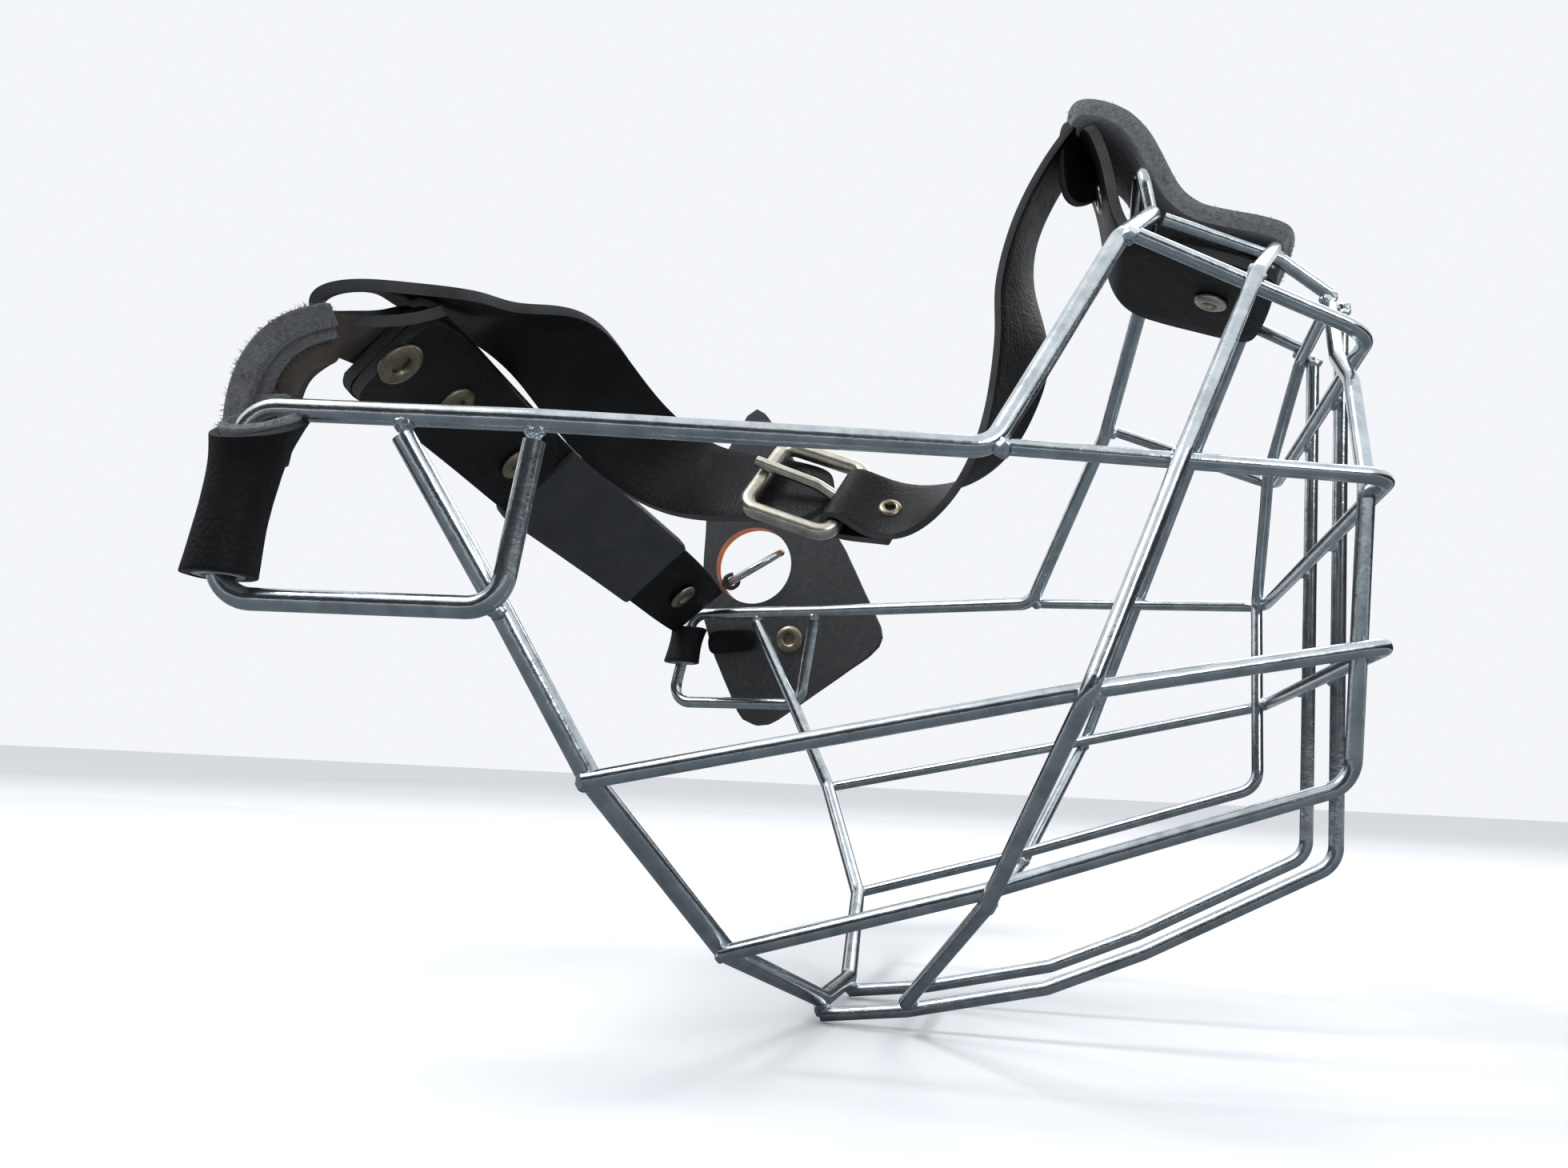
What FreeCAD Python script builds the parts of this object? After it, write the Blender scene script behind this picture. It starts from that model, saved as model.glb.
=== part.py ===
"""Wire basket muzzle for a short-nosed dog: a welded wire basket with leather and felt harness.

Frame: +X points to the nose end, +Y to the wearer's left, +Z up. The origin is midway between
the two places where the rails meet the uprights of the basket's opening. Millimetres.
"""
import FreeCAD
import Part
import math
import os

V = FreeCAD.Vector
os.makedirs("parts", exist_ok=True)

# ---------------------------------------------------------------- driving dimensions
FRAME_R = 1.6          # radius of the frame and jaw wire
BAR_R = 1.2            # radius of the hoops and bars
BEND = 5.0             # centre-line bend radius of the wires
SINK = 0.25            # how far two welded wires are pressed into each other
BEAD_R = 1.5           # radius of a weld bead
CLEAR = 0.3            # air between leather or felt and anything beside it

JUNCTION_W = 70.0      # half width of the opening where rail and upright meet
SHOULDER = (17.7, 51.5, 38.7)   # x, half width, z of the upright's shoulder
CROWN = (24.2, 21.0, 57.4)      # x, half width, z of the frame's top corner
RAIL_KINK = (-60.0, 88.0)       # x, half width where the rail flares outward
RAIL_REAR = (-98.5, 97.0)       # x, half width of the rail's rear corner
LOOP_DROP = 26.0       # depth of the cheek loop below the rail
LOOP_REAR_X = -102.7   # x of the loop's lower rear corner
LOOP_REAR_W = 95.0     # half width there
LOOP_FRONT_X = -63.2   # x of the loop's lower front corner
LOOP_TOP_X = -60.0     # x where the loop's end meets the rail

JAW_TOP_X = -77.5      # x where the jaw wire meets the rail
JAW_LOOP_X = -64.2     # x where the jaw wire passes the loop's corner
JAW_LOW = (-52.1, 78.5, -48.1)  # x, half width, z where the lower hoop starts
JAW_CHIN = (-38.8, 54.5, -72.4)  # x, half width, z where the front hoop starts
CHIN = (-32.5, 12.5, -85.2)     # x, half width, z of the jaw wire's bottom corner

FACE_X = 53.2          # x of the hoops' front crossings at z = 0
FACE_LEAN = 0.036      # how far the face leans forward per mm of height
NOSE_FRONT = (45.5, 23.5)       # half width, z of the nose hoop's front corner
UPPER_FRONT = (58.5, -2.0)      # the same of the upper hoop
LOWER_FRONT = (57.0, -25.0)     # the same of the lower hoop
LOWER_BOW = (12.4, 76.0)        # x, half width where the lower hoop bows out most
POST_W = 54.0          # half width of the front hoop's posts at the upper hoop
POST_KNEE = (43.5, 17.0)        # half width, z where a post starts to lean inward
POST_PASS = 36.0       # half width where a post passes behind the nose hoop
POST_FOOT = (46.5, -43.5)       # half width, z where a post turns back under the chin
ARCH = (14.0, 41.5)             # half width, z of the front hoop's top corner
CHIN_HOOP_MID = (-1.0, 56.0, -61.0)  # x, half width, z midway along the chin stretch
BAR_MID = (46.4, 16.0, 49.5)    # x, half width, z where a top bar bends down
CENTRE_W = 13.5        # half spacing of the two centre bars
CENTRE_FOOT_Z = -56.0  # z where a centre bar turns back under the chin
CENTRE_KNEES = [(41.0, -62.9), (22.9, -72.6), (6.8, -79.8), (-17.0, -85.6)]
RIB_X = {"nose": 36.8, "upper": 25.1, "lower": 12.4, "chin": -1.0}  # x of the rib at each hoop
RIB_TOP = (45.6, 16.0)          # x, half width of the rib's top corner
RIB_BOTTOM = (-16.6, 20.0)      # x, half width of the rib's bottom corner
PAD_LOOP = (22.4, 17.0, 69.5)   # x, half width, z of the pad loop's top corner

LEATHER_T = 2.0        # thickness of the strap leather
FELT_T = 2.4           # thickness of the felt on the cheek flap
PAD_FELT_T = 3.2       # thickness of the nose pad's felt
PAD_HALF = 17.0        # half width of the nose pad over the muzzle
FOLD_HALF = 13.5       # half width of the nose pad where it folds over the pad loop
SLEEVE_LENGTH = 17.4   # length of the right sleeve along the loop's rear upright
CUFF_LENGTH = 10.0     # length of the left cuff along the loop's rear upright
STRAP_WIDTH = 20.0     # width of the straps
BUCKLE_LENGTH = 22.0   # outer length of the buckle frame
BUCKLE_WIDTH = 24.0    # outer width of the buckle frame
BUCKLE_R = 1.7         # radius of the buckle's wire
PRONG_R = 1.2          # radius of the buckle's prong
RING_R = 8.6           # centre-line radius of the ring on the cheek flap
RING_WIRE_R = 1.1      # radius of the ring's wire
HOLE_R = 11.4          # radius of the hole in the cheek flap
FLAP_Y = 103.1         # y of the cheek flap's inner face
RIVET_R = 4.0          # radius of a rivet's head
RIVET_T = 1.0          # thickness of a rivet's head


# ---------------------------------------------------------------- helpers
def mix(a, b, t):
    return a + (b - a) * t


def at_z(path, z):
    """Point of a half-side path at height z."""
    for a, b in zip(path, path[1:]):
        if min(a.z, b.z) <= z <= max(a.z, b.z) and a.z != b.z:
            return mix(a, b, (z - a.z) / (b.z - a.z))
    raise ValueError("path does not reach z %s" % z)


def at_x(path, x):
    """Point of a half-side path at x."""
    for a, b in zip(path, path[1:]):
        if min(a.x, b.x) <= x <= max(a.x, b.x) and a.x != b.x:
            return mix(a, b, (x - a.x) / (b.x - a.x))
    raise ValueError("path does not reach x %s" % x)


def out(point, distance):
    """The point moved away from the middle plane."""
    return point + V(0, distance, 0)


def flip(point):
    return V(point.x, -point.y, point.z)


def across(half):
    """A left half path continued to the right as its mirror image."""
    return half + [flip(p) for p in reversed(half)]


def centre_line(points, bend):
    """Straight runs joined by tangent arcs; bend is one radius or a list of them."""
    edges = []
    start = points[0]
    bends = bend if isinstance(bend, list) else [bend] * (len(points) - 2)
    for a, b, c, bend in zip(points, points[1:], points[2:], bends):
        u = (a - b).normalize()
        v = (c - b).normalize()
        half_turn = (math.pi - u.getAngle(v)) / 2
        if half_turn < 0.01:
            continue
        run = min((a - b).Length, (c - b).Length)
        radius = min(bend, 0.45 * run / math.tan(half_turn))
        cut = radius * math.tan(half_turn)
        middle = (u + v).normalize()
        centre = b + middle * (radius / math.cos(half_turn))
        first = b + u * cut
        last = b + v * cut
        edges.append(Part.LineSegment(start, first).toShape())
        edges.append(Part.Arc(first, centre - middle * radius, last).toShape())
        start = last
    edges.append(Part.LineSegment(start, points[-1]).toShape())
    return Part.Wire(edges)


def rod(points, radius, bend=BEND):
    """Round wire along points."""
    path = centre_line(points, bend)
    ring = Part.Circle(points[0], (points[1] - points[0]).normalize(), radius).toShape()
    return path.makePipeShell([Part.Wire([ring])], True, False)


def band(stations, thickness):
    """Flat strap through stations of (centre, width direction, width)."""
    rings = []
    for i, (centre, across_dir, width) in enumerate(stations):
        before = stations[max(i - 1, 0)][0]
        after = stations[min(i + 1, len(stations) - 1)][0]
        along = (after - before).normalize()
        normal = along.cross(across_dir).normalize()
        side = normal.cross(along).normalize() * (width / 2)
        lift = normal * (thickness / 2)
        rings.append([centre + side + lift, centre - side + lift, centre - side - lift, centre + side - lift])
    faces = [Part.Face(Part.makePolygon(ring + [ring[0]])) for ring in (rings[0], rings[-1])]
    for a, b in zip(rings, rings[1:]):
        for k in range(4):
            n = (k + 1) % 4
            near = Part.LineSegment(a[k], a[n]).toShape()
            far = Part.LineSegment(b[k], b[n]).toShape()
            faces.append(Part.makeRuledSurface(near, far))
    shell = Part.Shell(faces)
    shell.sewShape()
    solid = Part.makeSolid(Part.Shell(shell.Faces))
    if solid.Volume < 0:
        solid.reverse()
    return solid


def tube(start, direction, length, inner, outer):
    """Straight hollow tube."""
    body = Part.makeCylinder(outer, length, start, direction)
    return body.cut(Part.makeCylinder(inner, length, start, direction))


def rivet(face, normal, shank, head_r=RIVET_R):
    """Tubular rivet whose front head stands on a face; the shank runs back through the layers."""
    n = V(normal).normalize()
    front = Part.makeCylinder(head_r, RIVET_T, face, n)
    hollow = Part.makeCylinder(head_r * 0.3, RIVET_T * 0.8, face + n * (RIVET_T * 0.4), n)
    stem = Part.makeCylinder(head_r * 0.45, shank + 0.2, face - n * (shank + 0.1), n)
    back = Part.makeCylinder(head_r, RIVET_T, face - n * (shank + RIVET_T), n)
    return front.fuse([stem, back]).cut(hollow)


def pierced(shape, places):
    """The shape with rivet holes; places are (point, direction, head radius)."""
    for point, direction, head_r in places:
        n = V(direction).normalize()
        shape = shape.cut(Part.makeCylinder(head_r * 0.45 + 0.05, 24, point - n * 12, n))
    return shape


def plate(outline, y, thickness):
    """Upright flat plate from an outline of (x, z), thick towards +Y."""
    points = [V(x, y, z) for x, z in outline]
    face = Part.Face(Part.makePolygon(points + [points[0]]))
    return face.extrude(V(0, thickness, 0))


def save(name, *solids):
    shape = solids[0] if len(solids) == 1 else Part.makeCompound(list(solids))
    shape.exportStep("parts/%s.step" % name)


def bead(point):
    return Part.makeSphere(BEAD_R, point)


# ---------------------------------------------------------------- wire paths, left half
def face_x(z):
    return FACE_X + FACE_LEAN * z


weld = FRAME_R + BAR_R - SINK       # centre distance of a bar welded on the frame wire
cross = 2 * BAR_R - SINK            # centre distance of two crossing bars

junction = V(0, JUNCTION_W, 0)
rail = [junction, V(RAIL_KINK[0], RAIL_KINK[1], 0), V(RAIL_REAR[0], RAIL_REAR[1], 0)]
shoulder = V(*SHOULDER)
crown = V(*CROWN)
loop_low_rear = V(LOOP_REAR_X, LOOP_REAR_W, -LOOP_DROP)
loop_low_front = V(LOOP_FRONT_X, RAIL_KINK[1], -LOOP_DROP)
loop_end = at_x(rail, LOOP_TOP_X) + V(0, 0, SINK - 2 * FRAME_R)
frame_half = [loop_end, loop_low_front, loop_low_rear, rail[2], rail[1], junction, shoulder, crown]

jaw_top = at_x(rail, JAW_TOP_X) + V(0, 0, SINK - 2 * FRAME_R)
jaw_loop = V(JAW_LOOP_X, RAIL_KINK[1] - 2 * FRAME_R + SINK, -LOOP_DROP)
jaw_half = [jaw_top, jaw_loop, V(*JAW_LOW), V(*JAW_CHIN), V(*CHIN)]

nose_half = [
    out(shoulder, 0) + V(weld, 0.4, 0),
    V(face_x(NOSE_FRONT[1]), NOSE_FRONT[0], NOSE_FRONT[1]),
]
upper_half = [
    junction + V(weld, 0, 0),
    V(face_x(UPPER_FRONT[1]), UPPER_FRONT[0], UPPER_FRONT[1]),
]
low_start = out(V(*JAW_LOW), weld)
lower_front = V(face_x(LOWER_FRONT[1]), LOWER_FRONT[0], LOWER_FRONT[1])
bow_share = (LOWER_BOW[0] - low_start.x) / (lower_front.x - low_start.x)
lower_bow = V(LOWER_BOW[0], LOWER_BOW[1], mix(low_start, lower_front, bow_share).z)
lower_half = [low_start, lower_bow, lower_front]

chin_start = out(V(*JAW_CHIN), weld)
chin_mid = V(*CHIN_HOOP_MID)
post_x = [face_x(z) - cross for z in (POST_FOOT[1], UPPER_FRONT[1], POST_KNEE[1])]
front_half = [
    chin_start,
    chin_mid,
    V(post_x[0], POST_FOOT[0], POST_FOOT[1]),
    V(post_x[1], POST_W, UPPER_FRONT[1]),
    V(post_x[2], POST_KNEE[0], POST_KNEE[1]),
    V(face_x(NOSE_FRONT[1]) - cross - 0.6, POST_PASS, NOSE_FRONT[1]),
    V(face_x(ARCH[1]), ARCH[0], ARCH[1]),
]

hoops = {"nose": nose_half, "upper": upper_half, "lower": lower_half, "chin": front_half[:3]}
rib_marks = [at_x(hoops[name], RIB_X[name]) for name in ("nose", "upper", "lower", "chin")]
rib_ends = [V(RIB_TOP[0], RIB_TOP[1], BAR_MID[2])] + rib_marks + [V(RIB_BOTTOM[0], RIB_BOTTOM[1], CHIN[2])]
rib_crossings = []
for i, name in enumerate(("nose", "upper", "lower", "chin")):
    hoop = at_x(hoops[name], RIB_X[name] + 1.0) - at_x(hoops[name], RIB_X[name] - 1.0)
    away = hoop.cross(rib_ends[i] - rib_ends[i + 2]).normalize()
    rib_crossings.append(rib_marks[i] + away * math.copysign(cross, away.y))
arch_corner = front_half[-1]
bar_start = V(crown.x + weld * 0.8, crown.y - 1.0, crown.z - 0.6)
bar_half = [bar_start, V(*BAR_MID), V(arch_corner.x, CENTRE_W, arch_corner.z + cross)]
rib_top = V(RIB_TOP[0], RIB_TOP[1], at_x(bar_half, RIB_TOP[0]).z + cross)
chin_rest = V(CHIN[0], CENTRE_W, CHIN[2] - FRAME_R - BAR_R + SINK)
centre_half = [V(face_x(z) + cross, CENTRE_W, z) for z in (ARCH[1] - 0.4, CENTRE_FOOT_Z)]
centre_half += [V(x, CENTRE_W, z) for x, z in CENTRE_KNEES] + [chin_rest]
rib_floor = at_x(centre_half[1:], RIB_BOTTOM[0]).z + cross
rib_half = [V(RIB_BOTTOM[0], RIB_BOTTOM[1], rib_floor)] + rib_crossings[::-1] + [rib_top]
pad_loop_half = [crown + V(0, PAD_LOOP[1] - crown.y, weld), V(*PAD_LOOP)]


# ---------------------------------------------------------------- the welded basket
def make_wires():
    save("frame_wire", rod(across(frame_half), FRAME_R))
    save("jaw_wire", rod(across(jaw_half), FRAME_R))
    save("nose_hoop", rod(across(nose_half), BAR_R))
    save("upper_hoop", rod(across(upper_half), BAR_R))
    save("lower_hoop", rod(across(lower_half), BAR_R, [6 * BEND, BEND, BEND, 6 * BEND]))
    save("front_hoop", rod(across(front_half), BAR_R))
    # the rib is a closed hoop: it starts and ends in the middle of its bottom stretch
    middle = V(rib_half[0].x, 0.15, rib_half[0].z)
    rib_path = [middle] + rib_half + [flip(p) for p in reversed(rib_half)] + [flip(middle)]
    save("rib_hoop", rod(rib_path, BAR_R))
    for side, name in ((1, "left"), (-1, "right")):
        turn = (lambda p: p) if side > 0 else flip
        save("top_bar_" + name, rod([turn(p) for p in bar_half], BAR_R))
        save("centre_bar_" + name, rod([turn(p) for p in centre_half], BAR_R))
    save("pad_loop", rod(across(pad_loop_half), BAR_R))


def weld_points():
    """Places of the weld beads on the left half."""
    toward = BAR_R - SINK / 2
    points = [out(p, -toward) for p in rib_crossings]
    points += [out(low_start, -toward), out(chin_start, -toward)]
    points += [upper_half[0] - V(toward, 0, 0), nose_half[0] - V(toward, 0, 0)]
    points += [loop_end + V(0, 0, FRAME_R), jaw_top + V(0, 0, FRAME_R)]
    points += [jaw_loop + V(0, FRAME_R, 0)]
    points += [V(p.x + toward, p.y, p.z) for p in (at_z(front_half[2:5], UPPER_FRONT[1]),)]
    for z in (NOSE_FRONT[1], UPPER_FRONT[1], LOWER_FRONT[1]):
        points.append(V(face_x(z) + toward, CENTRE_W, z))
    points.append(V(face_x(LOWER_FRONT[1]) - toward, at_z(front_half[2:5], LOWER_FRONT[1]).y, LOWER_FRONT[1]))
    points.append(V(centre_half[0].x, CENTRE_W, ARCH[1] - toward))
    points.append(V(bar_half[-1].x, CENTRE_W, bar_half[-1].z - toward))
    points.append(chin_rest + V(0, 0, toward))
    points.append(V(RIB_BOTTOM[0], CENTRE_W, rib_floor - toward))
    points.append(pad_loop_half[0] - V(0, 0, toward))
    points.append(V(rib_top.x, rib_top.y - 1.0, rib_top.z - toward))
    return points


def make_beads():
    beads = []
    for point in weld_points():
        beads += [bead(point), bead(flip(point))]
    save("weld_beads", *beads)


# ---------------------------------------------------------------- nose pad
# leather: under the top bars, up behind the frame's top and over into a hanging flap
PAD_LEATHER = [
    (V(46.6, 0, 46.6), PAD_HALF), (V(36.0, 0, 50.4), PAD_HALF), (V(27.0, 0, 53.1), PAD_HALF),
    (V(22.2, 0, 55.0), PAD_HALF - 1.0), (V(19.2, 0, 58.5), PAD_HALF - 2.5), (V(17.6, 0, 64.0), FOLD_HALF),
    (V(16.6, 0, 72.0), FOLD_HALF), (V(14.6, 0, 79.5), FOLD_HALF),
]
# felt: over the top bars, up in front of the pad loop and back over its top
PAD_FELT = [
    (V(48.6, 0, 54.6), PAD_HALF - 2.0), (V(45.2, 0, 55.3), PAD_HALF), (V(37.0, 0, 57.4), PAD_HALF),
    (V(31.8, 0, 60.0), PAD_HALF - 1.5),
    (V(28.2, 0, 64.2), FOLD_HALF), (V(26.0, 0, 70.5), FOLD_HALF), (V(22.8, 0, 77.6), FOLD_HALF),
    (V(18.4, 0, 82.6), FOLD_HALF), (V(12.0, 0, 84.8), FOLD_HALF),
]
PAD_FLAP = [(V(11.0, 0, 82.2), 11.0), (V(10.5, 0, 77.0), 11.0), (V(10.3, 0, 71.5), 7.0)]
PAD_RIVET_AT = (V(36.0, 0, 50.4), V(0.32, 0, 0.95))
FOLD_RIVET_AT = (V(16.6, 0, 72.0), V(-0.98, 0, -0.2))


def make_nose_pad():
    y_dir = V(0, 1, 0)
    places = [(p, n, 3.2) for p, n in (PAD_RIVET_AT, FOLD_RIVET_AT)]
    leather = band([(p, y_dir, 2 * w) for p, w in PAD_LEATHER], LEATHER_T)
    save("nose_pad_leather", pierced(leather, places))
    save("nose_pad_felt", band([(p, y_dir, 2 * w) for p, w in PAD_FELT], PAD_FELT_T))
    save("nose_pad_flap", band([(p, y_dir, 2 * w) for p, w in PAD_FLAP], LEATHER_T * 0.8))
    rivets = []
    for point, n in (PAD_RIVET_AT, FOLD_RIVET_AT):
        n = V(n).normalize()
        rivets.append(rivet(point - n * (LEATHER_T / 2 + 0.25), n * -1, LEATHER_T + 0.5, 3.2))
    save("pad_rivets", *rivets)


# ---------------------------------------------------------------- sleeves on the cheek loops
upright = (rail[2] - loop_low_rear).normalize()
upright_mid = mix(loop_low_rear, rail[2], 0.5)
felt_in = FRAME_R + CLEAR
felt_out = felt_in + 1.2
leather_in = felt_out + 0.1
leather_out = leather_in + 1.6


def make_sleeves():
    right_axis = flip(upright)
    start = flip(upright_mid) - right_axis * (SLEEVE_LENGTH / 2)
    save("sleeve_right", tube(start, right_axis, SLEEVE_LENGTH, leather_in, leather_out))
    save("sleeve_felt_right", tube(start, right_axis, SLEEVE_LENGTH, felt_in, felt_out))
    low = upright_mid + upright * (8.5 - CUFF_LENGTH)
    save("sleeve_left", tube(low, upright, CUFF_LENGTH, leather_in, leather_out))
    save("sleeve_felt_left", tube(low, upright, CUFF_LENGTH, felt_in, felt_out))


# ---------------------------------------------------------------- harness
NECK_DIR = V(0.72, 0, 0.69)     # across the neck strap, toward its upper front edge
NECK_IN = V(0.69, 0, -0.72)     # out of the neck strap's face that lies on the dog
TAB_ROUTE = [
    (V(-95.5, -96.8, 2.5), V(1, 0, 0), 13.0),
    (V(-94.6, -94.2, 8.0), V(1, 0, 0), 14.0),
    (V(-94.3, -89.0, 13.4), V(1, 0, 0), 15.0),
    (V(-95.0, -84.0, 16.9), V(0.95, 0, 0.3), 16.0),
    (V(-96.5, -77.0, 19.9), V(0.8, 0, 0.6), 16.0),
    (V(-97.5, -68.5, 21.3), NECK_DIR, 14.0),
]
NECK_ROUTE = [
    (V(-95.4, -73.5, 17.8), 16.0),
    (V(-96.5, -66.0, 18.8), STRAP_WIDTH),
    (V(-98.9, -55.0, 20.2), STRAP_WIDTH),
    (V(-101.2, -42.0, 20.0), STRAP_WIDTH),
    (V(-102.8, -20.0, 18.2), STRAP_WIDTH),
    (V(-103.3, -1.0, 15.4), STRAP_WIDTH),
    (V(-102.8, 22.0, 13.0), STRAP_WIDTH),
    (V(-101.0, 42.0, 10.0), STRAP_WIDTH),
    (V(-97.8, 60.0, 6.0), STRAP_WIDTH),
    (V(-95.6, 78.0, 2.4), STRAP_WIDTH),
    (V(-95.8, 91.6, 0.4), STRAP_WIDTH - 2.0),
]
LINING_SPAN = (0, 5)            # stations of the neck route that the inner layer covers
NECK_PAD_SPAN = (5, 8)          # stations that the pad covers
TAB_RIVET_Y = -71.0
ROOT_RIVET_AT = V(-96.5, -95.0, 6.3)
NECK_RIVET_Y = [-45.0, -15.0]   # rivets through both layers
END_RIVET_Y = 76.0              # rivet at the left end

BUCKLE_HEEL = V(-33.6, -1.8, 9.0)       # middle of the buckle's heel bar
BUCKLE_ALONG = V(-0.945, 0, 0.327)      # from the heel bar to the far bar
BUCKLE_ACROSS = V(0.267, 0.578, 0.771)  # along the heel bar
BUCKLE_ROUTE = [
    (V(-96.0, -94.0, 12.6), V(1, -0.1, 0), 8.0),
    (V(-96.2, -92.8, 17.4), V(1, -0.1, 0), 9.0),
    (V(-95.5, -88.6, 21.8), V(1, 0, -0.1), 12.0),
    (V(-94.0, -83.0, 25.6), V(0.95, 0, -0.25), 16.0),
    (V(-93.0, -76.0, 28.6), V(0.95, 0, -0.25), STRAP_WIDTH),
    (V(-93.6, -66.0, 30.8), V(0.95, 0, -0.25), STRAP_WIDTH),
    (V(-94.4, -55.0, 31.0), V(0.97, 0, -0.15), STRAP_WIDTH),
    (V(-88.0, -43.0, 33.2), V(0.98, 0, 0.15), STRAP_WIDTH),
    (V(-83.8, -35.0, 31.4), V(0.93, 0, 0.37), STRAP_WIDTH),
    (V(-81.6, -27.0, 27.0), V(0.78, 0, 0.62), STRAP_WIDTH),
    (V(-77.6, -15.0, 20.2), V(0.6, 0.2, 0.78), STRAP_WIDTH),
    (V(-70.1, -5.5, 15.0), V(0.4, 0.42, 0.8), STRAP_WIDTH),
    (V(-61.0, -1.2, 13.0), BUCKLE_ACROSS, 18.5),
]
BUCKLE_SLIDE = [(18.6, 3.6, 18.0), (9.5, 2.1, 18.0), (4.6, 1.2, 8.0)]
FOREHEAD_ROUTE = [
    (V(8.4, 0, 81.6), V(0, 1, 0), 18.0),
    (V(4.2, 0, 74.8), V(0, 1, 0), STRAP_WIDTH),
    (V(0.5, 0, 66.0), V(0.05, 1, 0), STRAP_WIDTH),
    (V(-0.7, 0, 57.4), V(0.2, 1, 0), STRAP_WIDTH),
    (V(-0.2, -1, 48.8), V(0.4, 0.9, 0), STRAP_WIDTH),
    (V(0.9, -2, 41.0), V(0.45, 0.9, 0), STRAP_WIDTH),
    (V(-0.3, -3, 32.8), V(0.4, 0.9, 0.1), STRAP_WIDTH),
    (V(-3.2, -3, 22.7), V(0.3, 0.9, 0.2), STRAP_WIDTH),
    (V(-8.2, -3, 14.7), V(0.2, 0.85, 0.35), STRAP_WIDTH),
    (V(-14.6, -2.4, 9.6), V(0.2, 0.75, 0.55), STRAP_WIDTH - 1.0),
    (V(-21.8, -1.8, 7.0), V(0.25, 0.62, 0.72), STRAP_WIDTH - 2.0),
]
STRAP_RIVET_SHARE = 0.35        # place of the rivet between the strap's last two stations
FLAP_OUTLINE = [
    (-92.0, -13.0), (-86.5, -24.0), (-83.0, -30.0), (-75.5, -31.5), (-60.0, -19.0),
    (-46.5, -10.0), (-43.0, -4.0), (-55.0, 20.5), (-77.9, 58.5), (-83.8, 64.0), (-92.0, 52.0),
    (-97.5, 38.0), (-97.5, 4.0), (-92.0, -2.0),
]
HOLE_AT = (-82.0, 15.4)
FLAP_RIVET_AT = (-69.9, -6.5)


def at_y(route, y):
    """Point of a strap's centre line at y."""
    points = [station[0] for station in route]
    for a, b in zip(points, points[1:]):
        if min(a.y, b.y) <= y <= max(a.y, b.y) and a.y != b.y:
            return mix(a, b, (y - a.y) / (b.y - a.y))
    raise ValueError("route does not reach y %s" % y)


def facing(y):
    """Direction out of the neck strap's inner face at y."""
    along = at_y(NECK_ROUTE, y + 2.0) - at_y(NECK_ROUTE, y - 2.0)
    return along.cross(NECK_DIR).normalize()


neck_in = V(NECK_IN).normalize()
LAYER = LEATHER_T + 0.15        # spacing of two layers of strap
tab_rivet_at = at_y(NECK_ROUTE, TAB_RIVET_Y)
root_dir = V(0.0, -0.92, 0.39)
neck_holes = [(at_y(NECK_ROUTE, y), facing(y), RIVET_R) for y in [TAB_RIVET_Y] + NECK_RIVET_Y + [END_RIVET_Y]]


def make_right_tab():
    """The soft end of the right sleeve, which rises to the straps."""
    root_hole = (ROOT_RIVET_AT, root_dir, 3.0)
    save("tab_right", pierced(band(TAB_ROUTE, LEATHER_T), [neck_holes[0], root_hole]))
    root_face = ROOT_RIVET_AT + V(root_dir).normalize() * (LEATHER_T / 2 + 0.45)
    n = facing(TAB_RIVET_Y)
    over = n * (1.5 * LEATHER_T + 0.45)
    save("tab_rivets", rivet(root_face, root_dir, LEATHER_T + 0.9, 3.0),
         rivet(tab_rivet_at + over, n, 3 * LEATHER_T + 2.2))


def make_neck_strap():
    strap = band([(p, NECK_DIR, w) for p, w in NECK_ROUTE], LEATHER_T)
    save("neck_strap", pierced(strap, neck_holes))
    first, last = LINING_SPAN
    inner = [(p + neck_in * LAYER, NECK_DIR, w - 1.0) for p, w in NECK_ROUTE[first:last]]
    inner.append((mix(NECK_ROUTE[last - 1][0], NECK_ROUTE[last][0], 0.9) + neck_in * LAYER, NECK_DIR, 19.0))
    save("neck_lining", pierced(band(inner, LEATHER_T), neck_holes[:3]))
    rivets = []
    for y in NECK_RIVET_Y:
        over = facing(y) * (1.5 * LEATHER_T + 0.4)
        rivets.append(rivet(at_y(NECK_ROUTE, y) + over, facing(y), 2 * LEATHER_T + 0.75))
    n = facing(END_RIVET_Y)
    rivets.append(rivet(at_y(NECK_ROUTE, END_RIVET_Y) + n * (LEATHER_T / 2 + 0.25), n, LEATHER_T + 0.5))
    save("neck_rivets", *rivets)
    first, last = NECK_PAD_SPAN
    covered = NECK_ROUTE[first:last + 1]
    shell = band([(p, NECK_DIR, w + 2.4) for p, w in covered], LEATHER_T + 2.8)
    slot = band([(p, NECK_DIR, w + 0.6) for p, w in NECK_ROUTE[first - 1:last + 2]], LEATHER_T + 0.6)
    save("neck_pad", shell.cut(slot))


buckle_across = V(BUCKLE_ACROSS).normalize()
buckle_along = V(BUCKLE_ALONG).normalize()
buckle_back = buckle_along.cross(buckle_across).normalize()     # toward the dog
buckle_span = BUCKLE_LENGTH - 2 * BUCKLE_R


def in_buckle(along, back, across_by=0.0):
    return BUCKLE_HEEL + buckle_along * along + buckle_back * back + buckle_across * across_by


def make_buckle_strap():
    """Strap that leaves the right tab in a loop, passes behind the buckle's far bar and ends in a point."""
    route = BUCKLE_ROUTE + [(in_buckle(s, b), BUCKLE_ACROSS, w) for s, b, w in BUCKLE_SLIDE]
    save("buckle_strap", band(route, LEATHER_T * 0.9))


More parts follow.
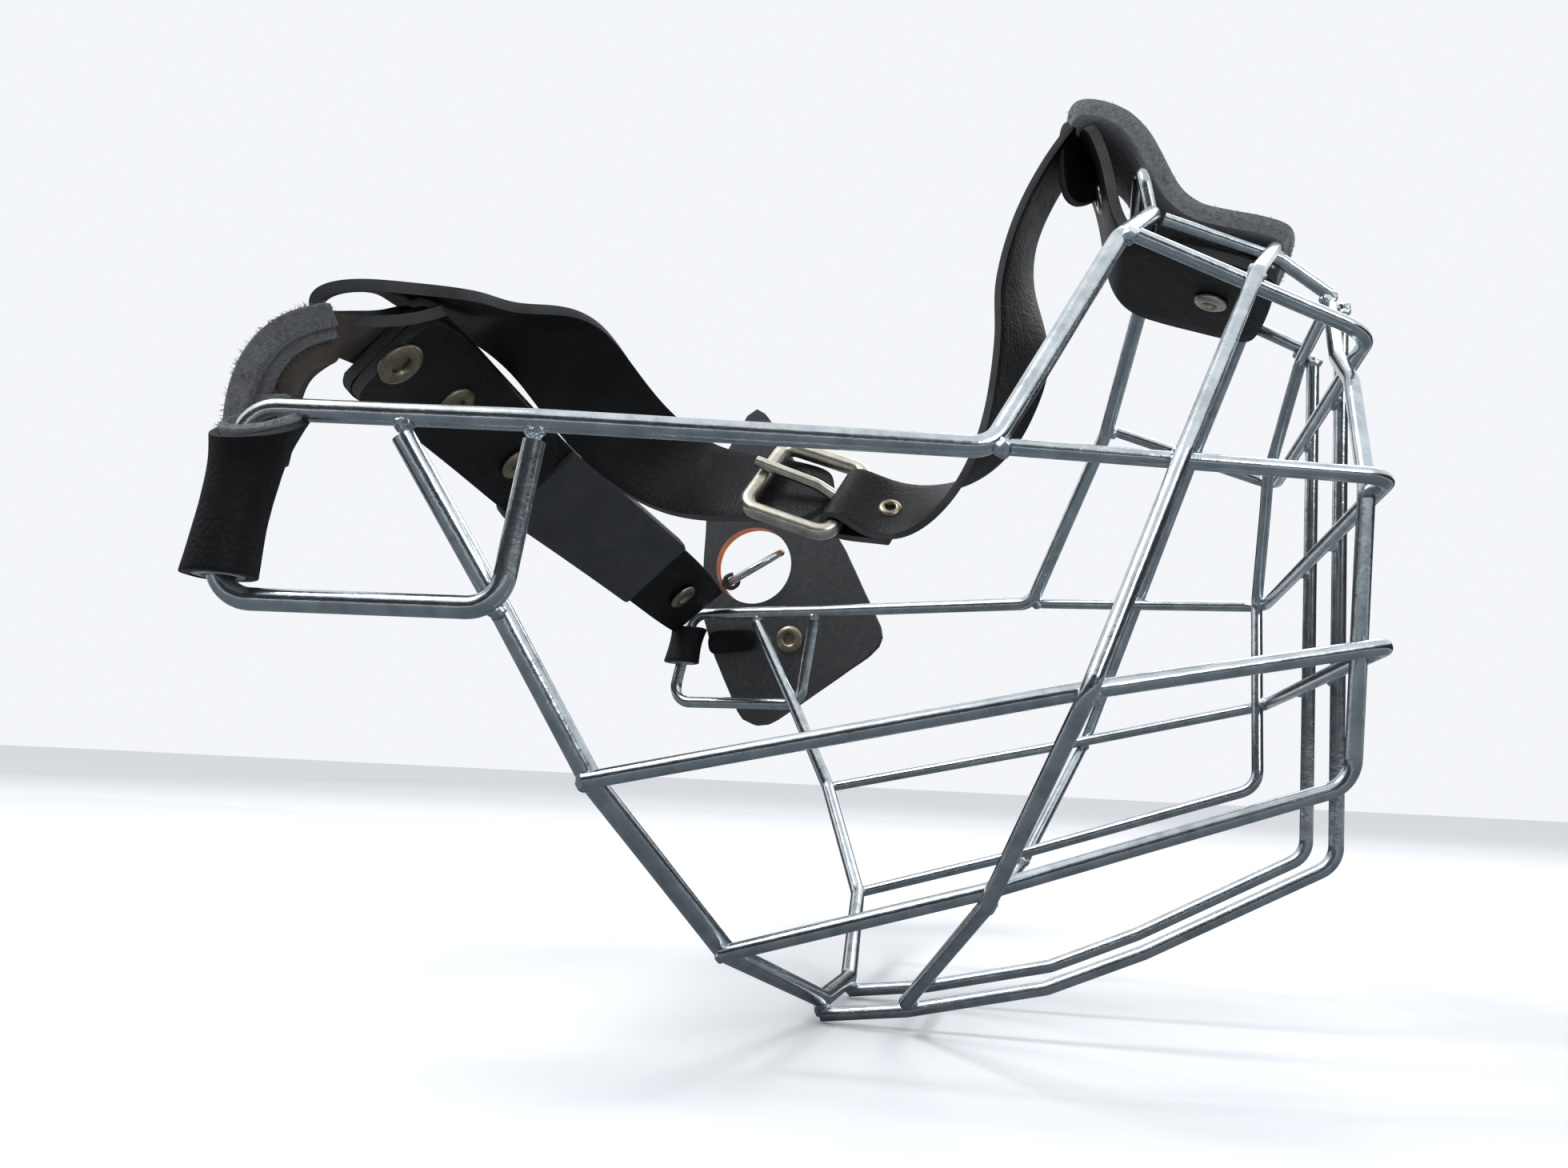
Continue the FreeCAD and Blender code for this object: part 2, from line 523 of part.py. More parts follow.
def make_forehead_strap():
    """Strap from the nose pad's fold to the buckle, with its end folded round the heel bar."""
    end = in_buckle(-(BUCKLE_R + 1.5), 0.0)
    route = FOREHEAD_ROUTE + [(end, BUCKLE_ACROSS, 18.4)]
    point = mix(FOREHEAD_ROUTE[-1][0], end, STRAP_RIVET_SHARE)
    normal = (end - FOREHEAD_ROUTE[-1][0]).cross(buckle_across).normalize()
    loops = []
    for side in (1, -1):
        start = in_buckle(0, 0, side * 2.6)
        loops.append(tube(start, buckle_across * side, 4.4, BUCKLE_R + CLEAR, BUCKLE_R + CLEAR + 1.8))
    strap = band(route, LEATHER_T * 0.9).fuse(loops)
    save("forehead_strap", pierced(strap, [(point, normal, 3.0)]))
    save("strap_rivet", rivet(point + normal * (LEATHER_T * 0.45 + 0.3), normal, LEATHER_T * 0.9 + 0.6, 3.0))


def make_buckle():
    """Rectangular frame of round wire, and the prong that pivots on its heel bar."""
    half_w = BUCKLE_WIDTH / 2 - BUCKLE_R
    corners = [in_buckle(0, 0, 0.1), in_buckle(0, 0, half_w), in_buckle(buckle_span, 0, half_w)]
    corners += [in_buckle(buckle_span, 0, -half_w), in_buckle(0, 0, -half_w), in_buckle(0, 0, -0.1)]
    save("buckle_frame", rod(corners, BUCKLE_R, 3.0))
    eye = tube(in_buckle(0, 0, -1.8), buckle_across, 3.6, BUCKLE_R + 0.05, BUCKLE_R + 1.15)
    rest = BUCKLE_R + PRONG_R + 0.1
    points = [in_buckle(2.6, -0.6), in_buckle(7.0, -2.2), in_buckle(buckle_span + 2.0, -rest)]
    save("buckle_prong", eye.fuse(rod(points, PRONG_R, 8.0)))


def make_cheek_flap():
    """Leather flap outside the left loop, with its felt, rivet and the tab that ties it to the cuff."""
    hole = Part.makeCylinder(HOLE_R, 12, V(HOLE_AT[0], FLAP_Y - 6, HOLE_AT[1]), V(0, 1, 0))
    middle = V(FLAP_RIVET_AT[0], FLAP_Y, FLAP_RIVET_AT[1])
    places = [(middle, V(0, 1, 0), RIVET_R)]
    save("cheek_flap", pierced(plate(FLAP_OUTLINE, FLAP_Y, LEATHER_T).cut(hole), places))
    save("flap_felt", pierced(plate(FLAP_OUTLINE, FLAP_Y - FELT_T - 0.1, FELT_T).cut(hole), places))
    save("flap_rivet", rivet(middle - V(0, FELT_T + 0.2, 0), V(0, -1, 0), FELT_T + LEATHER_T + 0.3))
    tie = [(-94.2, -12.0), (-79.0, -10.0), (-79.0, -3.5), (-94.2, -5.0)]
    save("flap_tab", plate(tie, FLAP_Y - FELT_T - 0.3 - LEATHER_T, LEATHER_T))


RING_NORMAL = V(0.487, 0.29, -0.82).normalize()
RING_TO_TAB = V(-0.857, 0, -0.514)
ring_centre = V(HOLE_AT[0], FLAP_Y + 0.5, HOLE_AT[1])


def make_ring():
    save("flap_ring", Part.makeTorus(RING_R, RING_WIRE_R, ring_centre, RING_NORMAL))
    toward = (RING_TO_TAB - RING_NORMAL * RING_TO_TAB.dot(RING_NORMAL)).normalize()
    tangent = RING_NORMAL.cross(toward).normalize()
    start = ring_centre + toward * RING_R - tangent * 2.0
    save("ring_tab", tube(start, tangent, 4.0, RING_WIRE_R + 0.35, RING_WIRE_R + 1.55))


make_wires()
make_beads()
make_nose_pad()
make_sleeves()
make_right_tab()
make_neck_strap()
make_buckle_strap()
make_forehead_strap()
make_buckle()
make_cheek_flap()
make_ring()
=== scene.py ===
"""Wire basket muzzle: bright wire basket, felt and leather nose pad, leather harness with a buckle."""
import bisect
import math
import random

import bpy
from mathutils import Matrix, Vector


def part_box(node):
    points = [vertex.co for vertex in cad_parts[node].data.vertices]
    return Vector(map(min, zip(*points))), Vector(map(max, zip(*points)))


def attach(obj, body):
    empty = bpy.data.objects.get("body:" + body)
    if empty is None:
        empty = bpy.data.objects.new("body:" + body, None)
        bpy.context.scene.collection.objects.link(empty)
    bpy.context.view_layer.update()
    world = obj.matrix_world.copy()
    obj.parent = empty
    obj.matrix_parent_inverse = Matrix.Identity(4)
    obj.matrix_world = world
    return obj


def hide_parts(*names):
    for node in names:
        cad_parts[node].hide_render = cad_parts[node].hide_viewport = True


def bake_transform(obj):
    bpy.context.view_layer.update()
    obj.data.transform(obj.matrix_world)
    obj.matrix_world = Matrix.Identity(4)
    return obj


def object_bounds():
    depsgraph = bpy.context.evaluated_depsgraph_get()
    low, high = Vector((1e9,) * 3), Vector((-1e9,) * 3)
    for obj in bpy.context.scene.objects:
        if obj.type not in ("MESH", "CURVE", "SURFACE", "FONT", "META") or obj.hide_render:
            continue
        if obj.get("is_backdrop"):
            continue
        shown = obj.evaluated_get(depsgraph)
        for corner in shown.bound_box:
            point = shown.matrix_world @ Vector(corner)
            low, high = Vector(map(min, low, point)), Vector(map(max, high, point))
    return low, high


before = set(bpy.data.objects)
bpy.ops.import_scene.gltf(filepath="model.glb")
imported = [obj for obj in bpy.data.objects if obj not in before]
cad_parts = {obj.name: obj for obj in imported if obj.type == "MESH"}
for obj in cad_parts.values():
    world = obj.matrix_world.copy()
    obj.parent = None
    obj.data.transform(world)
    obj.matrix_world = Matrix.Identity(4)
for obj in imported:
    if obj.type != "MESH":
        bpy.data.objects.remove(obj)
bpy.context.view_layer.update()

MM = 0.001

# Thicknesses of the stuff the pieces are cut from.
LEATHER = 2.0 * MM
STRAP_LEATHER = 1.8 * MM
FOREHEAD_LEATHER = 1.6 * MM
SLEEVE_LEATHER = 1.4 * MM
RING_TAB_LEATHER = 1.1 * MM
FLAP_TAB_LEATHER = 1.9 * MM
NECK_PADDING = 4.8 * MM
NOSE_FELT = 3.4 * MM
FLAP_FELT = 2.4 * MM
TAB_FELT = 1.4 * MM
SLEEVE_FELT = 1.3 * MM

# Radii of the rivet heads, in millimetres.
HARNESS_HEAD = 4.0
PAD_HEAD = 3.2
ROOT_HEAD = 2.8
STRAP_HEAD = 2.4

WORN_CORNER = 0.35 * MM          # rounding of a cut strap's corners
STRAP_LUMPS = 0.02               # size of the clouds that make a strap uneven, in metres
FIBRE_RADIUS = 0.045             # a felt fibre at its root, in millimetres


def mm(x, y, z):
    return Vector((x, y, z)) * MM


# ---------------------------------------------------------------- materials
def noise(tree, coords, scale, detail, rough=0.6, distortion=0.0):
    node = tree.nodes.new("ShaderNodeTexNoise")
    node.inputs["Scale"].default_value = scale
    node.inputs["Detail"].default_value = detail
    node.inputs["Roughness"].default_value = rough
    node.inputs["Distortion"].default_value = distortion
    tree.links.new(coords, node.inputs["Vector"])
    return node.outputs["Fac"]


def ramp(tree, value, stops):
    node = tree.nodes.new("ShaderNodeValToRGB")
    while len(node.color_ramp.elements) < len(stops):
        node.color_ramp.elements.new(0.5)
    for element, (at, colour) in zip(node.color_ramp.elements, stops):
        element.position = at
        element.color = (*colour, 1.0)
    tree.links.new(value, node.inputs["Fac"])
    return node.outputs["Color"]


def span(tree, value, low, high):
    node = tree.nodes.new("ShaderNodeMapRange")
    node.inputs["To Min"].default_value = low
    node.inputs["To Max"].default_value = high
    tree.links.new(value, node.inputs["Value"])
    return node.outputs["Result"]


def bump(tree, shader, height, strength, distance, below=None):
    node = tree.nodes.new("ShaderNodeBump")
    node.inputs["Strength"].default_value = strength
    node.inputs["Distance"].default_value = distance
    tree.links.new(height, node.inputs["Height"])
    if below is not None:
        tree.links.new(below, node.inputs["Normal"])
    tree.links.new(node.outputs["Normal"], shader.inputs["Normal"])
    return node.outputs["Normal"]


def new_finish(name):
    finish = bpy.data.materials.new(name)
    finish.use_nodes = True
    tree = finish.node_tree
    shader = tree.nodes["Principled BSDF"]
    coords = tree.nodes.new("ShaderNodeTexCoord").outputs["Object"]
    return finish, tree, shader, coords


def plain(name, colour, roughness):
    """One flat colour, for the floor and the cards round it."""
    finish, _, shader, _ = new_finish(name)
    shader.inputs["Base Color"].default_value = (*colour, 1)
    shader.inputs["Roughness"].default_value = roughness
    return finish


def metal(name, dark, light, rough_low, rough_high, grain=260.0, pits=0.25):
    """Plated metal: cloudy tint, uneven gloss and fine pits."""
    finish, tree, shader, coords = new_finish(name)
    shader.inputs["Metallic"].default_value = 1.0
    cloud = noise(tree, coords, grain, 5.0, 0.6, 0.4)
    tree.links.new(ramp(tree, cloud, [(0.3, dark), (0.62, light)]), shader.inputs["Base Color"])
    spots = noise(tree, coords, grain * 3.1, 4.0, 0.7)
    tree.links.new(span(tree, spots, rough_low, rough_high), shader.inputs["Roughness"])
    coarse = bump(tree, shader, noise(tree, coords, grain * 1.3, 3.0), pits, 0.0003)
    bump(tree, shader, noise(tree, coords, grain * 9.0, 3.0), pits * 0.5, 0.0001, coarse)
    return finish


def hide(name, dark, light, wear, rough_low, rough_high, grain):
    """Leather: pebbled grain, creases and scuffed patches."""
    finish, tree, shader, coords = new_finish(name)
    cloud = noise(tree, coords, 90.0, 6.0, 0.62, 0.6)
    stops = [(0.28, dark), (0.66, light), (0.82, wear)]
    tree.links.new(ramp(tree, cloud, stops), shader.inputs["Base Color"])
    rubbed = noise(tree, coords, 340.0, 5.0)
    tree.links.new(span(tree, rubbed, rough_low, rough_high), shader.inputs["Roughness"])
    shader.inputs["Specular IOR Level"].default_value = 0.22
    cells = tree.nodes.new("ShaderNodeTexVoronoi")
    cells.inputs["Scale"].default_value = grain
    tree.links.new(coords, cells.inputs["Vector"])
    creases = bump(tree, shader, noise(tree, coords, 210.0, 6.0, 0.7, 1.2), 0.3, 0.0006)
    bump(tree, shader, cells.outputs["Distance"], 0.35, 0.00025, creases)
    return finish


def wool(name, dark, light):
    """Pressed felt: matted fibres, speckled grey."""
    finish, tree, shader, coords = new_finish(name)
    fibres = noise(tree, coords, 560.0, 9.0, 0.82, 3.0)
    tree.links.new(ramp(tree, fibres, [(0.3, dark), (0.7, light)]), shader.inputs["Base Color"])
    shader.inputs["Roughness"].default_value = 0.95
    shader.inputs["Sheen Weight"].default_value = 0.35
    shader.inputs["Sheen Roughness"].default_value = 0.5
    mats = bump(tree, shader, noise(tree, coords, 420.0, 6.0, 0.7, 1.5), 0.6, 0.0008)
    bump(tree, shader, fibres, 0.7, 0.0005, mats)
    return finish


zinc = metal("bright_zinc", (0.46, 0.51, 0.54), (0.68, 0.74, 0.77), 0.12, 0.3)
weld_zinc = metal("weld_zinc", (0.30, 0.34, 0.37), (0.74, 0.79, 0.83), 0.22, 0.5, grain=420.0, pits=0.6)
nickel = metal("pale_nickel", (0.50, 0.46, 0.38), (0.76, 0.72, 0.62), 0.22, 0.42)
brass = metal("old_brass", (0.20, 0.165, 0.11), (0.46, 0.40, 0.29), 0.28, 0.5)

black_leather = hide("black_leather", (0.002, 0.002, 0.0023), (0.0055, 0.0055, 0.0065), (0.02, 0.02, 0.022),
                     0.42, 0.64, 1300.0)
brown_back = hide("leather_back", (0.022, 0.018, 0.015), (0.05, 0.041, 0.035), (0.075, 0.063, 0.053),
                  0.6, 0.8, 1900.0)
smooth_pad = hide("smooth_grey", (0.017, 0.019, 0.021), (0.026, 0.028, 0.031), (0.036, 0.038, 0.042),
                  0.5, 0.66, 2600.0)
cut_edge = hide("cut_edge", (0.018, 0.018, 0.018), (0.038, 0.038, 0.039), (0.07, 0.068, 0.065),
                0.7, 0.9, 2600.0)
raw_edge = hide("raw_edge", (0.36, 0.20, 0.10), (0.62, 0.40, 0.23), (0.7, 0.52, 0.34), 0.6, 0.8, 2600.0)
dyed_edge = hide("dyed_edge", (0.36, 0.09, 0.025), (0.6, 0.2, 0.07), (0.66, 0.3, 0.14), 0.55, 0.75, 2600.0)

grey_felt = wool("grey_felt", (0.010, 0.011, 0.012), (0.16, 0.17, 0.18))
dark_felt = wool("dark_felt", (0.003, 0.0035, 0.004), (0.03, 0.032, 0.036))
pressed_felt = wool("pressed_felt", (0.008, 0.009, 0.010), (0.075, 0.08, 0.086))


# ---------------------------------------------------------------- shaping
def deselect():
    bpy.ops.object.select_all(action="DESELECT")


def pick(piece):
    """Makes the piece the only one selected, and the active one."""
    deselect()
    piece.select_set(True)
    bpy.context.view_layer.objects.active = piece


def named(name):
    """Names the new piece; a CAD node keeps its own name, so the piece made for it adds a word."""
    piece = bpy.context.object
    piece.name = name + "_made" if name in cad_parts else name
    piece.data.name = piece.name
    return piece


def settle(piece):
    """Puts the piece's place into its mesh."""
    pick(piece)
    bpy.ops.object.transform_apply(location=True, rotation=True, scale=True)


def apply_all(piece):
    pick(piece)
    for modifier in list(piece.modifiers):
        bpy.ops.object.modifier_apply(modifier=modifier.name)


def smooth(piece, angle=38.0):
    pick(piece)
    bpy.ops.object.shade_smooth_by_angle(angle=math.radians(angle))


def soften(piece, levels, corners="PRESERVE_CORNERS"):
    curved = piece.modifiers.new("curved", "SUBSURF")
    curved.levels = curved.render_levels = levels
    curved.boundary_smooth = corners
    apply_all(piece)


def rumple(piece, strength, size, depth=2):
    """Slight unevenness of a soft or hand-made surface, in the mesh."""
    clouds = bpy.data.textures.new(piece.name + "_clouds", "CLOUDS")
    clouds.noise_scale = size
    clouds.noise_depth = depth
    uneven = piece.modifiers.new("uneven", "DISPLACE")
    uneven.texture = clouds
    uneven.texture_coords = "LOCAL"
    uneven.strength = strength
    uneven.mid_level = 0.5
    apply_all(piece)


def thicken(piece, thickness, corner):
    """Gives a sheet its thickness both ways; the cut edge takes the second finish."""
    wall = piece.modifiers.new("wall", "SOLIDIFY")
    wall.thickness = thickness
    wall.offset = 0.0
    wall.use_even_offset = True
    wall.material_offset_rim = 1
    if corner:
        rounded = piece.modifiers.new("rounded", "BEVEL")
        rounded.width = corner
        rounded.segments = 2
        rounded.limit_method = "ANGLE"
        rounded.angle_limit = math.radians(50)
    apply_all(piece)


def paint(piece, *finishes):
    piece.data.materials.clear()
    for finish in finishes:
        piece.data.materials.append(finish)


def join(name, pieces):
    deselect()
    for piece in pieces:
        piece.select_set(True)
    bpy.context.view_layer.objects.active = pieces[0]
    bpy.ops.object.join()
    return named(name)


def place(piece, body, slot, *nodes):
    """Puts the piece on its body, in place of the CAD nodes it stands for; the slot is not used."""
    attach(piece, body)
    if nodes:
        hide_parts(*nodes)
    return piece


# ---------------------------------------------------------------- straps, tubes, rivet heads and fibres
def rails(stations):
    """The two edges of a strap at each station of (centre, across, width)."""
    pairs = []
    for i, (centre, across, width) in enumerate(stations):
        before = stations[max(i - 1, 0)][0]
        after = stations[min(i + 1, len(stations) - 1)][0]
        along = (after - before).normalized()
        side = (across - along * across.dot(along)).normalized() * (width / 2)
        pairs.append((centre - side, centre + side))
    return pairs


def ribbon(name, stations):
    """Open strip: a plane on the first two stations, then its end edge extruded to each next one."""
    pairs = rails(stations)
    deselect()
    bpy.ops.mesh.primitive_plane_add(size=1)
    piece = named(name)
    for vertex, corner in zip(piece.data.vertices, (*pairs[0], *pairs[1])):
        vertex.co = corner
    last = (2, 3)
    for left, right in pairs[2:]:
        for polygon in piece.data.polygons:
            polygon.select = False
        for edge in piece.data.edges:
            edge.select = set(edge.vertices) == set(last)
        for vertex in piece.data.vertices:
            vertex.select = vertex.index in last
        old = [piece.data.vertices[i].co.copy() for i in last]
        step = (left + right) / 2 - (old[0] + old[1]) / 2
        bpy.ops.object.mode_set(mode="EDIT")
        bpy.ops.mesh.select_mode(type="EDGE")
        bpy.ops.mesh.extrude_edges_move(TRANSFORM_OT_translate={"value": step})
        bpy.ops.object.mode_set(mode="OBJECT")
        count = len(piece.data.vertices)
        moved = old[0] + step
        new = sorted((count - 2, count - 1), key=lambda i: (piece.data.vertices[i].co - moved).length)
        piece.data.vertices[new[0]].co = left
        piece.data.vertices[new[1]].co = right
        last = (new[0], new[1])
    bpy.ops.object.mode_set(mode="EDIT")
    bpy.ops.mesh.select_all(action="SELECT")
    bpy.ops.mesh.normals_make_consistent(inside=False)
    bpy.ops.object.mode_set(mode="OBJECT")
    return piece


def strap(name, stations, thickness, finishes=(black_leather, cut_edge), uneven=0.25 * MM,
          corners="PRESERVE_CORNERS", corner=WORN_CORNER):
    """Strip of leather or felt along stations of (centre, across, width) in millimetres."""
    piece = ribbon(name, [(mm(*centre), Vector(across), width * MM) for centre, across, width in stations])
    soften(piece, 3, corners)
    if uneven:
        rumple(piece, uneven, STRAP_LUMPS)
    paint(piece, *finishes)
    thicken(piece, thickness, corner)
    smooth(piece)
    return piece


def tube(name, rings, finishes):
    """Open tube: a circle on the first ring of (centre, half x, half y), extruded to each next one."""
    deselect()
    centre, half_x, half_y = rings[0]
    bpy.ops.mesh.primitive_circle_add(vertices=40, radius=1, fill_type="NOTHING", location=mm(*centre))
    piece = named(name)
    piece.scale = (half_x * MM, half_y * MM, 1)
    settle(piece)
    bpy.ops.object.mode_set(mode="EDIT")
    bpy.ops.mesh.select_mode(type="VERT")
    bpy.ops.mesh.select_all(action="SELECT")
    for (old, old_x, old_y), (new, new_x, new_y) in zip(rings, rings[1:]):
        bpy.ops.mesh.extrude_edges_move(TRANSFORM_OT_translate={"value": mm(*new) - mm(*old)})
        bpy.ops.transform.resize(value=(new_x / old_x, new_y / old_y, 1), center_override=mm(*new))
    bpy.ops.mesh.select_all(action="SELECT")
    bpy.ops.mesh.normals_make_consistent(inside=False)
    bpy.ops.object.mode_set(mode="OBJECT")
    paint(piece, *finishes)
    return piece


# Steps of a rolled rivet head, from its rim to the bottom of its hole: share of the radius, rise in mm.
HEAD_SECTION = ((1.0, 0.35), (0.95, 0.3), (0.82, 0.25), (0.66, 0.12), (0.5, -0.05), (0.44, -0.25),
                (0.38, -0.6), (0.36, -0.7), (0.02, -0.05))


def rivet_head(name, centre, normal, radius, finish):
    """Rolled head of a tubular rivet: a circle extruded inward over a domed lip and down its hole."""
    deselect()
    bpy.ops.mesh.primitive_circle_add(vertices=40, radius=radius * MM, fill_type="NOTHING")
    piece = named(name)
    bpy.ops.object.mode_set(mode="EDIT")
    bpy.ops.mesh.select_all(action="SELECT")
    size = 1.0
    for share, rise in HEAD_SECTION:
        bpy.ops.mesh.extrude_edges_move(TRANSFORM_OT_translate={"value": (0, 0, rise * MM)})
        bpy.ops.transform.resize(value=(share / size, share / size, 1))
        size = share
    bpy.ops.mesh.select_all(action="SELECT")
    bpy.ops.mesh.remove_doubles(threshold=0.00002)
    bpy.ops.mesh.fill_holes(sides=0)
    bpy.ops.mesh.normals_make_consistent(inside=False)
    bpy.ops.object.mode_set(mode="OBJECT")
    turn = Vector((0, 0, 1)).rotation_difference(Vector(normal).normalized()).to_matrix().to_4x4()
    piece.matrix_world = Matrix.Translation(mm(*centre)) @ turn
    settle(piece)
    paint(piece, finish)
    smooth(piece, 60)
    return piece


def fuzz(name, source, count, length, seed, finish=grey_felt, where=None):
    """Stray fibres standing out of a felt surface, each a bent three-sided spike."""
    draw = random.Random(seed)
    mesh = source.data
    polygons = [p for p in mesh.polygons if where is None or where(p)]
    totals, total = [], 0.0
    for polygon in polygons:
        total += polygon.area
        totals.append(total)
    corners, faces = [], []
    for _ in range(count):
        polygon = polygons[min(bisect.bisect(totals, draw.random() * total), len(polygons) - 1)]
        points = [mesh.vertices[i].co for i in polygon.vertices]
        weights = [draw.random() + 0.05 for _ in points]
        root = sum((p * w for p, w in zip(points, weights)), Vector()) / sum(weights)
        lean = Vector([draw.uniform(-1, 1) for _ in range(3)])
        way = (polygon.normal + lean * 0.9).normalized()
        side = way.orthogonal().normalized() * FIBRE_RADIUS * MM
        other = way.cross(side).normalized() * FIBRE_RADIUS * MM
        reach = length * draw.uniform(0.35, 1.0)
        middle = root + way * reach * 0.55
        tip = middle + (way + lean * 0.7).normalized() * reach * 0.45
        first = len(corners)
        corners += [root + side, root - side * 0.5 + other, root - side * 0.5 - other]
        corners += [middle + side * 0.6, middle - side * 0.3 + other * 0.6, middle - side * 0.3 - other * 0.6]
        corners.append(tip)
        for k in range(3):
            n = (k + 1) % 3
            faces.append((first + k, first + n, first + 3 + n, first + 3 + k))
            faces.append((first + 3 + k, first + 3 + n, first + 6))
        faces.append((first + 2, first + 1, first))
    fibre_mesh = bpy.data.meshes.new(name)
    fibre_mesh.from_pydata(corners, [], faces)
    piece = bpy.data.objects.new(name, fibre_mesh)
    bpy.context.scene.collection.objects.link(piece)
    paint(piece, finish)
    return piece


# ---------------------------------------------------------------- the welded basket
WIRES = ("frame_wire", "jaw_wire", "nose_hoop", "upper_hoop", "lower_hoop", "front_hoop", "rib_hoop",
         "top_bar_left", "top_bar_right", "centre_bar_left", "centre_bar_right", "pad_loop", "flap_ring")
WELD_SWELL = 0.1 * MM            # how far a bead is swollen before it is made lumpy
WELD_LUMPS = 0.0013              # size of its lumps, in metres


def finish_wires():
    for node in WIRES:
        paint(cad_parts[node], zinc)
    for node in ("buckle_frame", "buckle_prong"):
        paint(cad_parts[node], nickel)


def make_welds():
    """Lumpy beads of weld metal where the wires meet."""
    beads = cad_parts["weld_beads"].data.copy()
    piece = bpy.data.objects.new("welds", beads)
    bpy.context.scene.collection.objects.link(piece)
    pick(piece)
    bpy.ops.object.mode_set(mode="EDIT")
    bpy.ops.mesh.select_all(action="SELECT")
    bpy.ops.mesh.remove_doubles(threshold=0.000005)
    bpy.ops.mesh.subdivide(number_cuts=1, smoothness=1.0)
    bpy.ops.transform.shrink_fatten(value=-WELD_SWELL)
    bpy.ops.object.mode_set(mode="OBJECT")
    rumple(piece, 1.0 * MM, WELD_LUMPS, depth=1)
    paint(piece, weld_zinc)
    smooth(piece, 70)
    place(piece, "basket", "wire", "weld_beads")


# ---------------------------------------------------------------- nose pad
LEVEL = (0, 1, 0)


def on_ridge(profile):
    """Stations of a strip that lies level over the nose, from (x, z, width)."""
    return [((x, 0, z), LEVEL, width) for x, z, width in profile]


def make_nose_pad():
    under = [(46.9, 46.6, 30), (44.0, 47.4, 34), (36.0, 50.3, 35), (28.0, 52.8, 35), (22.4, 54.6, 33),
             (19.0, 58.5, 31), (17.5, 64.0, 29), (16.6, 72.0, 27), (14.4, 79.5, 26), (11.6, 83.0, 24)]
    leather = strap("nose_pad_leather", on_ridge(under), LEATHER, uneven=0.5 * MM, corners="ALL")
    place(leather, "basket", "leather", "nose_pad_leather")

    over = [(49.2, 53.6, 27), (47.4, 55.0, 33), (43.0, 56.0, 34.5), (37.0, 57.6, 34), (32.0, 60.2, 31),
            (28.4, 64.4, 28), (26.2, 70.5, 27), (23.2, 77.6, 27), (18.6, 82.8, 27), (12.4, 85.2, 26),
            (8.6, 84.6, 24)]
    felt = strap("nose_pad_felt", on_ridge(over), NOSE_FELT, (grey_felt, grey_felt), 0.9 * MM,
                 corners="ALL", corner=0.9 * MM)
    place(felt, "basket", "felt", "nose_pad_felt")
    place(fuzz("nose_pad_fuzz", felt, 7000, 0.9 * MM, seed=3), "basket", "felt")

    hanging = [((13.4, 0.5, 84.0), (0.4, 0.9, 0), 21), ((12.6, -1.0, 79.4), (0.62, 0.78, 0), 17),
               ((11.4, -3.0, 74.2), (0.75, 0.66, 0), 11), ((9.6, -4.6, 69.2), (0.8, 0.6, 0), 4)]
    flap = strap("nose_pad_flap", hanging, STRAP_LEATHER, uneven=0.5 * MM, corners="ALL")
    place(flap, "basket", "leather", "nose_pad_flap")

    heads = [rivet_head("pad_rivet_a", (36.2, 0, 48.9), (-0.32, 0, -0.95), PAD_HEAD, nickel),
             rivet_head("pad_rivet_b", (15.5, 0, 72.0), (-0.98, 0, -0.2), PAD_HEAD, nickel)]
    place(join("pad_rivet_heads", heads), "basket", "rivet", "pad_rivets")


# ---------------------------------------------------------------- sleeves
LINING_INSET = 1.35              # from the middle of the leather's wall to the middle of the felt's
MOUTH_FROM = -9.0                # height where the slant of the right sleeve's mouth begins
MOUTH_RUN = 6.0                  # and the height over which it grows to the full slope
MOUTH_SLOPE = 0.62
MOUTH_Y = -96.4                  # the slant turns about this line


def slant_mouth(piece):
    """Cuts the sleeve's mouth on a slant, low at the front and high at the back."""
    for vertex in piece.data.vertices:
        share = min(max((vertex.co.z / MM - MOUTH_FROM) / MOUTH_RUN, 0.0), 1.0)
        vertex.co.z += (vertex.co.y - MOUTH_Y * MM) * MOUTH_SLOPE * share


def rolled(name, rings, finishes, wall, corner, lumps, slanted):
    """A tube rolled from sheet; lumps are (strength, size) of its unevenness."""
    piece = tube(name, rings, finishes)
    if slanted:
        slant_mouth(piece)
    soften(piece, 2)
    rumple(piece, *lumps)
    thicken(piece, wall, corner)
    smooth(piece)
    return piece


def make_sleeve(side, rings, lining_end, leather_lumps, felt_lumps, slanted):
    """A leather sleeve on one upright and the felt in it, which is given back."""
    body = side + "_sleeve"
    leather = rolled("sleeve_" + side, rings, (black_leather, cut_edge), SLEEVE_LEATHER, 0.3 * MM,
                     leather_lumps, slanted)
    place(leather, body, "leather", "sleeve_" + side)
    lining = [(centre, half_x - LINING_INSET, half_y - LINING_INSET) for centre, half_x, half_y in rings]
    felt = rolled("sleeve_felt_" + side, lining + lining_end, (grey_felt, grey_felt), SLEEVE_FELT, 0.4 * MM,
                  felt_lumps, slanted)
    place(felt, body, "felt", "sleeve_felt_" + side)
    return felt


